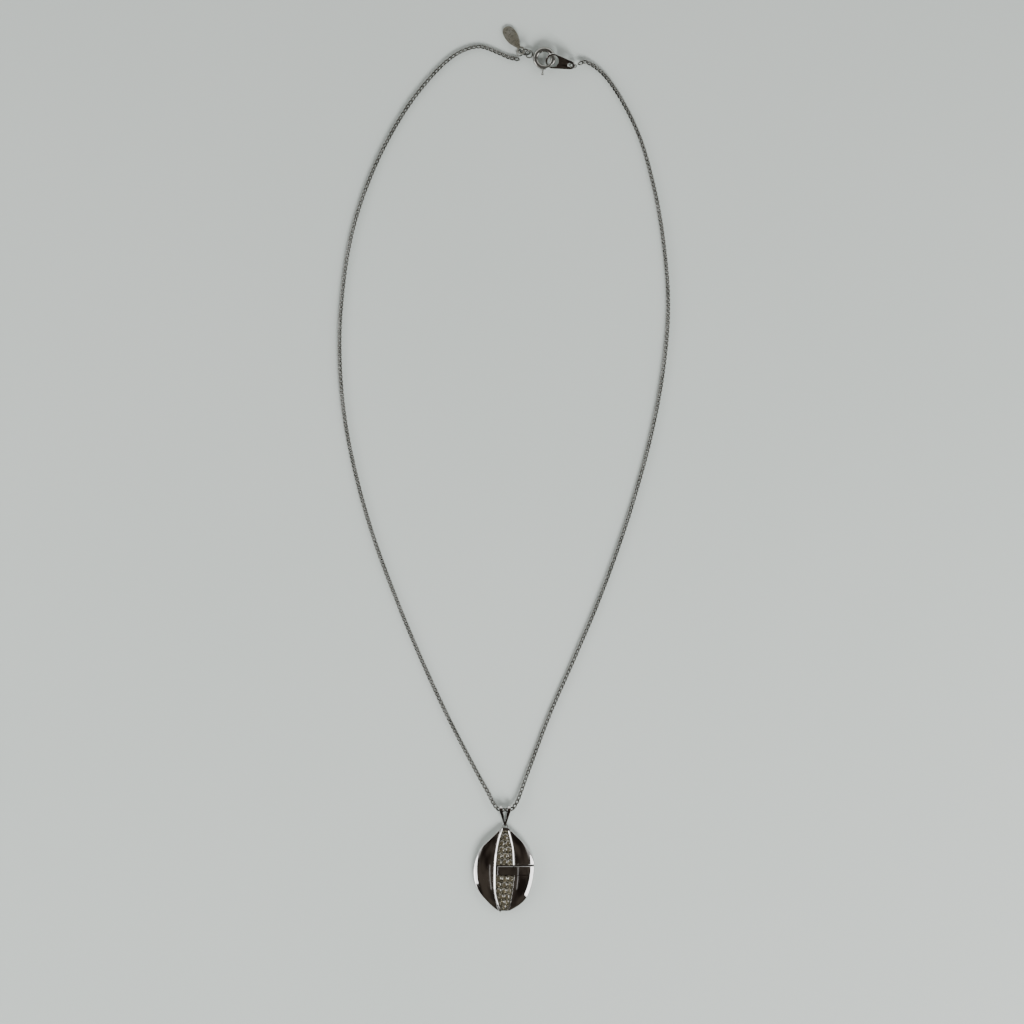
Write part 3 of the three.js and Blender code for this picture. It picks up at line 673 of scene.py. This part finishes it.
def make_loop():
    line = circle_line(LOOP_RADIUS, LOOP_ARC, 40)
    verts, faces = sweep(line, np.tile(UP, (len(line), 1)), LOOP_WIRE, 16, False)
    verts = moved(verts, placed(LOOP_AT))
    add_mesh("hidden_loop", verts, faces, chain_metal, "pendant", ["pendant_loop"], 50)


make_lobes()
make_walls()
make_fields()
make_stones()
make_back_plate()
make_loop()

# ---- bail ----

BAIL_AT = (0.3, -88.2, 1.27)
BAIL_INSIDE = 0.95 * MM
BAIL_STRIP = 0.25 * MM
BAIL_TURN_INSIDE = 0.235 * MM
BAIL_TURN_AT = np.array([-3.82, -0.6]) * MM
BAIL_HALF_TOP = 1.45 * MM
BAIL_SHOULDER = -0.3 * MM
BAIL_HALF_TIP = 0.15 * MM
EARS_APART_TOP = 0.8 * MM
EARS_APART_LOW = 0.07 * MM
EARS_SPLIT_TO = -3.1 * MM
BAIL_ROUNDING = 0.035 * MM
BAIL_BLANK_HALF = 2 * MM
CUTTER_HALF = 3 * MM
CUT_PAST = 0.1 * MM
BEVEL_SEGMENTS = 3


def two_circles(a, radius_a, b, radius_b, steps=28):
    """The outline round two circles."""
    a, b = np.array(a, float), np.array(b, float)
    lean = math.acos((radius_a - radius_b) / np.linalg.norm(b - a))
    heading = math.atan2(b[1] - a[1], b[0] - a[0])
    first = np.linspace(heading + lean, heading - lean + 2 * math.pi, steps)
    second = np.linspace(heading - lean, heading + lean, steps)

    def arc(centre, r, turn):
        return centre + r * np.stack([np.cos(turn), np.sin(turn)], 1)

    return np.vstack([arc(a, radius_a, first), arc(b, radius_b, second)])


def solid_from(outlines, low, high, matrix):
    """A solid extruded from closed outlines, as an object for a boolean."""
    work = bmesh.new()
    loops = []
    for outline in outlines:
        verts = [work.verts.new((x, y, low)) for x, y in outline]
        edges = [work.edges.new((verts[i], verts[(i + 1) % len(verts)])) for i in range(len(verts))]
        loops.append((verts, edges))
    bmesh.ops.triangle_fill(work, use_beauty=True, edges=[e for _, edges in loops for e in edges])
    made = bmesh.ops.extrude_face_region(work, geom=work.faces[:])
    tops = [g for g in made["geom"] if isinstance(g, bmesh.types.BMVert)]
    bmesh.ops.translate(work, verts=tops, vec=(0, 0, high - low))
    bmesh.ops.recalc_face_normals(work, faces=work.faces)
    work.transform(matrix)
    mesh = bpy.data.meshes.new("cutter")
    work.to_mesh(mesh)
    work.free()
    solid = bpy.data.objects.new("cutter", mesh)
    bpy.context.collection.objects.link(solid)
    return solid


def combined(solid, others):
    """The mesh of a solid after booleans with (operation, other) pairs; removes them all."""
    for operation, other in others:
        modifier = solid.modifiers.new(operation, "BOOLEAN")
        modifier.operation = operation
        modifier.object = other
        modifier.solver = "EXACT"
    mesh = finished(solid)
    for _, other in others:
        bpy.data.objects.remove(other)
    bpy.data.objects.remove(solid)
    return mesh


def finished(solid):
    bpy.context.view_layer.update()
    shape = solid.evaluated_get(bpy.context.evaluated_depsgraph_get())
    return bpy.data.meshes.new_from_object(shape)


def softened(mesh, width, angle=35):
    """A mesh with its sharp edges rounded."""
    holder = bpy.data.objects.new("holder", mesh)
    bpy.context.collection.objects.link(holder)
    modifier = holder.modifiers.new("bevel", "BEVEL")
    modifier.width = width
    modifier.segments = BEVEL_SEGMENTS
    modifier.limit_method = "ANGLE"
    modifier.angle_limit = math.radians(angle)
    modifier.harden_normals = False
    result = finished(holder)
    bpy.data.objects.remove(holder)
    return result


def make_bail():
    def outline(grow):
        return two_circles((0, 0), BAIL_INSIDE + grow, BAIL_TURN_AT, BAIL_TURN_INSIDE + grow)

    standing = Matrix(((0, 0, 1, 0), (1, 0, 0, 0), (0, 1, 0, 0), (0, 0, 0, 1)))
    side = solid_from([outline(BAIL_STRIP), outline(0)], -BAIL_BLANK_HALF, BAIL_BLANK_HALF, standing)
    top = BAIL_INSIDE + BAIL_STRIP + CUT_PAST
    bottom = BAIL_TURN_AT[0] - BAIL_TURN_INSIDE - BAIL_STRIP - CUT_PAST

    front = [(BAIL_HALF_TOP, top), (BAIL_HALF_TOP, BAIL_SHOULDER), (BAIL_HALF_TIP, bottom)]
    opening = [(EARS_APART_TOP, top), (EARS_APART_LOW, EARS_SPLIT_TO)]

    def both_sides(half):
        outline = [(-x, y) for x, y in half] + half[::-1]
        return solid_from([outline], -CUTTER_HALF, CUTTER_HALF, Matrix())

    taper = both_sides(front)
    split = both_sides(opening)
    mesh = softened(combined(side, [("INTERSECT", taper), ("DIFFERENCE", split)]), BAIL_ROUNDING)
    mesh.transform(placed(BAIL_AT))
    add_piece("bail_strip", mesh, plated, "bail", ["bail"], 32)


make_bail()

# ---- clasp ----

CLASP = placed((10.5, 107.0, 1.25), (0, -6, 0))
CLASP_RADIUS = 2.3 * MM
TUBE_OUTSIDE = 0.7 * MM
TUBE_INSIDE = 0.47 * MM
TUBE_ARC = (-35, 278)
BOLT_RADIUS = 0.38 * MM
BOLT_ARC = (235, 332)
KNOB_ANGLE = 263
TRIGGER_TRAVEL = 50
SLOT_HALF = 0.3 * MM
SLOT_MARGIN = 7  # degrees past the knob at each end of its travel
SLOT_PAST_TUBE = 0.2 * MM
TUBE_ROUNDING = 0.05 * MM
KNOB_STEM = 0.2 * MM
KNOB_HEAD = 0.42 * MM
KNOB_TIP = 4.35 * MM  # from the clasp's middle
BOLT_NOSE = (0.97, 0.9, 0.78, 0.55)  # shares of its radius at its last steps
SPRING_ARC = (118, 233)
SPRING_COILS = 11
SPRING_RADIUS = 0.32 * MM
SPRING_WIRE = 0.08 * MM
EYE_ANGLE = 163.7
EYE_RADIUS = 0.95 * MM
EYE_WIRE = 0.19 * MM
EYE_GAP = 0.02 * MM


def hollow_arc(radius, outside, inside, arc, steps, sides=28):
    """A bent tube with a wall, its ends rounded over."""
    line = circle_line(radius, arc, steps)
    up = np.tile(UP, (len(line), 1))
    outer, outer_faces = sweep(line, up, outside, sides, False)
    inner, inner_faces = sweep(line, up, inside, sides, False)
    n = len(outer)
    faces = outer_faces[:-2] + [tuple(k + n for k in f[::-1]) for f in inner_faces[:-2]]
    last = n - sides
    for k in range(sides):
        m = (k + 1) % sides
        faces.append((k, m, m + n, k + n))
        faces.append((last + m, last + k, last + k + n, last + m + n))
    return np.vstack([outer, inner]), faces


def mesh_of(name, verts, faces):
    mesh = bpy.data.meshes.new(name)
    mesh.from_pydata([tuple(v) for v in verts], [], [tuple(int(i) for i in f) for f in faces])
    work = bmesh.new()
    work.from_mesh(mesh)
    bmesh.ops.recalc_face_normals(work, faces=work.faces)
    work.to_mesh(mesh)
    work.free()
    return mesh


def object_of(mesh):
    holder = bpy.data.objects.new(mesh.name, mesh)
    bpy.context.collection.objects.link(holder)
    return holder


def make_clasp_tube():
    shape = hollow_arc(CLASP_RADIUS, TUBE_OUTSIDE, TUBE_INSIDE, TUBE_ARC, 110)
    tube = object_of(mesh_of("tube", *shape))
    slot_from, slot_to = KNOB_ANGLE - TRIGGER_TRAVEL - SLOT_MARGIN, KNOB_ANGLE + SLOT_MARGIN
    slot_arc = np.radians(np.linspace(slot_from, slot_to, 24))
    inner = CLASP_RADIUS * np.stack([np.cos(slot_arc), np.sin(slot_arc)], 1)
    outer = inner[::-1] * (CLASP_RADIUS + TUBE_OUTSIDE + SLOT_PAST_TUBE) / CLASP_RADIUS
    slot = solid_from([np.vstack([inner, outer])], -SLOT_HALF, SLOT_HALF, Matrix())
    mesh = softened(combined(tube, [("DIFFERENCE", slot)]), TUBE_ROUNDING, 50)
    mesh.transform(CLASP)
    add_piece("clasp_tube_shell", mesh, clasp_metal, "clasp", ["clasp_tube"], 40)


def make_clasp_eye():
    from_centre = CLASP_RADIUS + TUBE_OUTSIDE + EYE_RADIUS + EYE_WIRE + EYE_GAP
    angle = math.radians(EYE_ANGLE)
    at = (from_centre * math.cos(angle) / MM, from_centre * math.sin(angle) / MM, 0)
    line = circle_line(EYE_RADIUS)
    verts, faces = sweep(line, np.tile(UP, (len(line), 1)), EYE_WIRE, 18, True)
    add_mesh(
        "clasp_eye_ring", moved(verts, CLASP @ placed(at)), faces, clasp_metal, "clasp", ["clasp_eye"],
        80)


def lathe(profile, steps=32):
    """A closed solid turned about Z from (radius, height) points that start and end on the axis."""
    profile = np.array(profile)
    turn = np.arange(steps) * 2 * math.pi / steps
    rings = profile[1:-1]
    verts = [[0, 0, profile[0][1]], [0, 0, profile[-1][1]]]
    for r, z in rings:
        verts += [[r * math.cos(t), r * math.sin(t), z] for t in turn]
    faces = []
    last = 2 + (len(rings) - 1) * steps
    for k in range(steps):
        m = (k + 1) % steps
        faces.append((0, 2 + m, 2 + k))
        faces.append((1, last + k, last + m))
        for i in range(len(rings) - 1):
            a, b = 2 + i * steps, 2 + (i + 1) * steps
            faces.append((a + k, a + m, b + m, b + k))
    return np.array(verts), faces


def make_clasp_bolt():
    line = circle_line(CLASP_RADIUS, BOLT_ARC, 44)
    taper = np.ones(len(line))
    taper[-len(BOLT_NOSE):] = BOLT_NOSE
    across = np.tile(UP, (len(line), 1))
    rod = object_of(mesh_of("bolt", *sweep(line, across, BOLT_RADIUS * taper, 24, False)))
    stem, head, tip = KNOB_STEM, KNOB_HEAD, KNOB_TIP - CLASP_RADIUS
    profile = [
        (0, 0), (stem, 0), (stem, tip - 0.75 * MM), (stem * 1.15, tip - 0.55 * MM),
        (head * 0.7, tip - 0.34 * MM), (head * 0.93, tip - 0.2 * MM), (head, tip - 0.1 * MM),
        (head * 0.97, tip - 0.03 * MM), (head * 0.82, tip), (head * 0.5, tip - 0.04 * MM),
        (0, tip - 0.07 * MM),
    ]
    knob_mesh = mesh_of("knob", *lathe(profile))
    outward = Matrix.Rotation(math.radians(KNOB_ANGLE), 4, "Z")
    laid_down = Matrix.Rotation(math.radians(90), 4, "Y")
    knob_mesh.transform(outward @ Matrix.Translation((CLASP_RADIUS, 0, 0)) @ laid_down)
    mesh = combined(rod, [("UNION", object_of(knob_mesh))])
    mesh.transform(CLASP)
    add_piece("clasp_trigger_bolt", mesh, clasp_metal, "trigger", ["clasp_bolt"], 50)


def make_clasp_spring():
    share = np.linspace(0, 1, SPRING_COILS * 20 + 1)
    angle = np.radians(SPRING_ARC[0] + (SPRING_ARC[1] - SPRING_ARC[0]) * share)
    turn = 2 * math.pi * SPRING_COILS * share
    reach = CLASP_RADIUS + SPRING_RADIUS * np.cos(turn)
    line = np.stack([reach * np.cos(angle), reach * np.sin(angle), SPRING_RADIUS * np.sin(turn)], 1)
    axis = np.stack([-np.sin(angle), np.cos(angle), 0 * angle], 1)
    verts, faces = sweep(line, axis, SPRING_WIRE, 8, False)
    spring = add_mesh(
        "clasp_coil_spring", moved(verts, CLASP), faces, spring_steel, None, ["clasp_spring"],
        60)
    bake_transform(spring)


make_clasp_tube()
make_clasp_eye()
make_clasp_bolt()
make_clasp_spring()

# ---- rings, tag and tab ----

JUMP = placed((5.52, 108.66, 1.26), (58, 0, -12))
JUMP_CUT = (62, 418)
JUMP_RADIUS = 1.2 * MM
JUMP_WIRE = 0.21 * MM
END_RADIUS = 0.85 * MM
END_WIRE = 0.18 * MM


def make_ring(name, radius, wire, matrix, body, node, arc=(0, 360)):
    line = circle_line(radius, arc, 72)
    verts, faces = sweep(line, np.tile(UP, (len(line), 1)), wire, 18, arc[1] - arc[0] >= 360)
    add_mesh(name, moved(verts, matrix), faces, chain_metal, body, [node], 50)


make_ring("open_jump_ring", JUMP_RADIUS, JUMP_WIRE, JUMP, "jump_ring", "jump_ring", JUMP_CUT)
make_ring(
    "left_end_ring", END_RADIUS, END_WIRE, placed((4.2, 108.48, 0.65), (-20, -20, 0)), "chain",
    "chain_end_ring_left")

TAB = placed((12.75, 106.3, 1.68), (39, 3, -13))
TAB_LENGTH = 4.5 * MM  # from hole to hole
TAB_LARGE = (1.95 * MM, 2.35 * MM)
TAB_LARGE_HOLE = (1.45 * MM, 1.85 * MM)
TAB_SMALL = 1.35 * MM
TAB_SMALL_HOLE = 0.65 * MM
TAB_SIDES_AT = 0.25 * MM  # where the large end's round gives way to straight sides
TAB_SMALL_ARC = 78
TAB_THICK = 0.3 * MM
TAB_ROUNDING = 0.05 * MM
RIGHT_END = TAB @ Matrix.Translation((TAB_LENGTH + END_RADIUS, 0, 0)) @ Matrix.Rotation(math.pi / 2, 4, "X")
make_ring("right_end_ring", END_RADIUS, END_WIRE, RIGHT_END, "chain", "chain_end_ring_right")


def make_tab():
    large = ellipse(*TAB_LARGE, steps=96)
    left_half = large[large[:, 0] < TAB_SIDES_AT]
    order = np.argsort(np.unwrap(np.arctan2(left_half[:, 1], left_half[:, 0]) % (2 * math.pi)))
    turn = np.radians(np.linspace(-TAB_SMALL_ARC, TAB_SMALL_ARC, 40))
    small = np.stack([TAB_LENGTH + TAB_SMALL * np.cos(turn), TAB_SMALL * np.sin(turn)], 1)
    outline = np.vstack([left_half[order], small])
    large_hole = ellipse(*TAB_LARGE_HOLE)[::-1]
    small_hole = ellipse(TAB_SMALL_HOLE, TAB_SMALL_HOLE, (TAB_LENGTH, 0), 40)[::-1]
    plate(
        "chain_tab_plate", [outline, large_hole, small_hole], TAB_THICK, TAB_ROUNDING, TAB, plated,
        "chain_tab", ["chain_tab"])


def bezier(a, b, c, d, steps=18):
    t = np.arange(steps)[:, None] / steps
    a, b, c, d = (np.array(p, float) for p in (a, b, c, d))
    return (1 - t) ** 3 * a + 3 * (1 - t) ** 2 * t * b + 3 * (1 - t) * t**2 * c + t**3 * d


TAG = placed((4.41, 109.05, 1.51), (0, 9, 123.7))
TAG_THICK = 0.32 * MM
TAG_ROUNDING = 0.09 * MM


def make_tag():
    """A leaf from an eyelet through a neck to a round tip, drawn in mm along X."""
    eyelet, hole, neck_at, neck, widest_at, widest, tip = 1.05, 0.65, 1.35, 0.45, 4.7, 1.68, 7.45
    angle = math.asin(neck / eyelet)
    turn = np.linspace(angle, 2 * math.pi - angle, 60)
    start = (eyelet * math.cos(angle), neck)
    outline = np.vstack([
        eyelet * np.stack([np.cos(turn), np.sin(turn)], 1)[:-1],
        bezier((start[0], -neck), (neck_at, -neck), (widest_at - 2.2, -widest), (widest_at, -widest)),
        bezier((widest_at, -widest), (tip - 0.9, -widest), (tip, -widest * 0.62), (tip, 0)),
        bezier((tip, 0), (tip, widest * 0.62), (tip - 0.9, widest), (widest_at, widest)),
        bezier((widest_at, widest), (widest_at - 2.2, widest), (neck_at, neck), start),
    ])
    eye = ellipse(hole * MM, hole * MM, steps=48)[::-1]
    plate(
        "hang_tag_leaf", [outline * MM, eye], TAG_THICK, TAG_ROUNDING, TAG, stamped, "hang_tag",
        ["hang_tag"])


make_tab()
make_tag()

# ---- floor and light ----


FLOOR_SIZE = 4
FLOOR_LIGHT = (0.505, 0.552, 0.53)
FLOOR_LIGHTER = (0.52, 0.562, 0.542)


def make_floor():
    """A pale grey laminate with a faint mottle."""
    material, nodes, links, shader = new_material("pale_surface")
    mottle = remap(nodes, links, noise(nodes, links, 9, 3), 0, 1, 0.35, 0.65)
    color = mix_colors(nodes, links, mottle, FLOOR_LIGHT, FLOOR_LIGHTER)
    links.new(color, shader.inputs["Base Color"])
    shader.inputs["Roughness"].default_value = 0.55
    shader.inputs["Specular IOR Level"].default_value = 0.25
    bpy.ops.mesh.primitive_plane_add(size=FLOOR_SIZE, location=(*VIEW_CENTRE, 0))
    floor = bpy.context.object
    floor.name = "floor"
    floor.data.materials.append(material)


def area_light(name, at, size, power, color=(1, 1, 1), in_reflections=True, spin=0):
    """A rectangular light that faces the pendant; size is across and along Y, spin in degrees."""
    data = bpy.data.lights.new(name, "AREA")
    data.shape = "RECTANGLE"
    data.size, data.size_y = size
    data.energy = power
    data.color = color
    backward = (Vector(at) - Vector(PENDANT_AT)).normalized()
    across = Vector((0, 1, 0)).cross(backward).normalized()
    lamp = bpy.data.objects.new(name, data)
    facing = Matrix((across, backward.cross(across), backward)).transposed().to_4x4()
    lamp.matrix_world = facing @ Matrix.Rotation(math.radians(spin), 4, "Z")
    lamp.location = at
    lamp.visible_glossy = in_reflections
    bpy.context.collection.objects.link(lamp)


def make_world():
    """A dark, faintly uneven room with a pale wall beyond the clasp end."""
    world = bpy.data.worlds.new("room")
    bpy.context.scene.world = world
    world.use_nodes = True
    nodes, links = world.node_tree.nodes, world.node_tree.links
    background = nodes["Background"]
    place = nodes.new("ShaderNodeTexCoord")
    apart = nodes.new("ShaderNodeSeparateXYZ")
    links.new(place.outputs["Generated"], apart.inputs["Vector"])
    texture = nodes.new("ShaderNodeTexNoise")
    texture.inputs["Scale"].default_value = 3.2
    texture.inputs["Detail"].default_value = 1.5
    links.new(place.outputs["Generated"], texture.inputs["Vector"])
    uneven = remap(nodes, links, texture.outputs["Fac"], 0, 1, 0.4, 0.62)
    low = remap(nodes, links, apart.outputs["Z"], 1, 0, 0.68, 0.74)
    beyond = remap(nodes, links, apart.outputs["Y"], 0, 1, 0.08, 0.4)
    wall = nodes.new("ShaderNodeMath")
    wall.operation = "MULTIPLY"
    links.new(low, wall.inputs[0])
    links.new(beyond, wall.inputs[1])
    dark = mix_colors(nodes, links, uneven, (0.02, 0.015, 0.012), (0.085, 0.07, 0.056))
    both = nodes.new("ShaderNodeMix")
    both.data_type = "RGBA"
    both.inputs["B"].default_value = (1.45, 1.46, 1.43, 1)
    links.new(dark, both.inputs["A"])
    links.new(wall.outputs["Value"], both.inputs["Factor"])
    links.new(both.outputs["Result"], background.inputs["Color"])
    background.inputs["Strength"].default_value = 1.0


def make_lights():
    area_light("key", (0.4, -1.15, 0.84), (0.8, 0.5), 35, (1, 1, 0.985), in_reflections=False)
    area_light("fill", (-0.1, 0.1, 1.1), (0.9, 0.9), 0.8, in_reflections=False)
    area_light("left_strip", (-0.57, -0.10, 0.185), (0.12, 1.3), 1.9)
    area_light("left_window", (-0.53, -0.134, 0.245), (0.28, 0.28), 1.0)
    area_light("right_window", (0.52, -0.225, 0.26), (0.32, 0.43), 2.1, spin=-14)
    area_light("left_ceiling_edge", (-0.3, -0.25, 0.9), (0.025, 0.3), 0.01)
    area_light("right_ceiling_edge", (0.3, -0.25, 0.9), (0.025, 0.3), 0.01)


make_floor()
make_world()
make_lights()
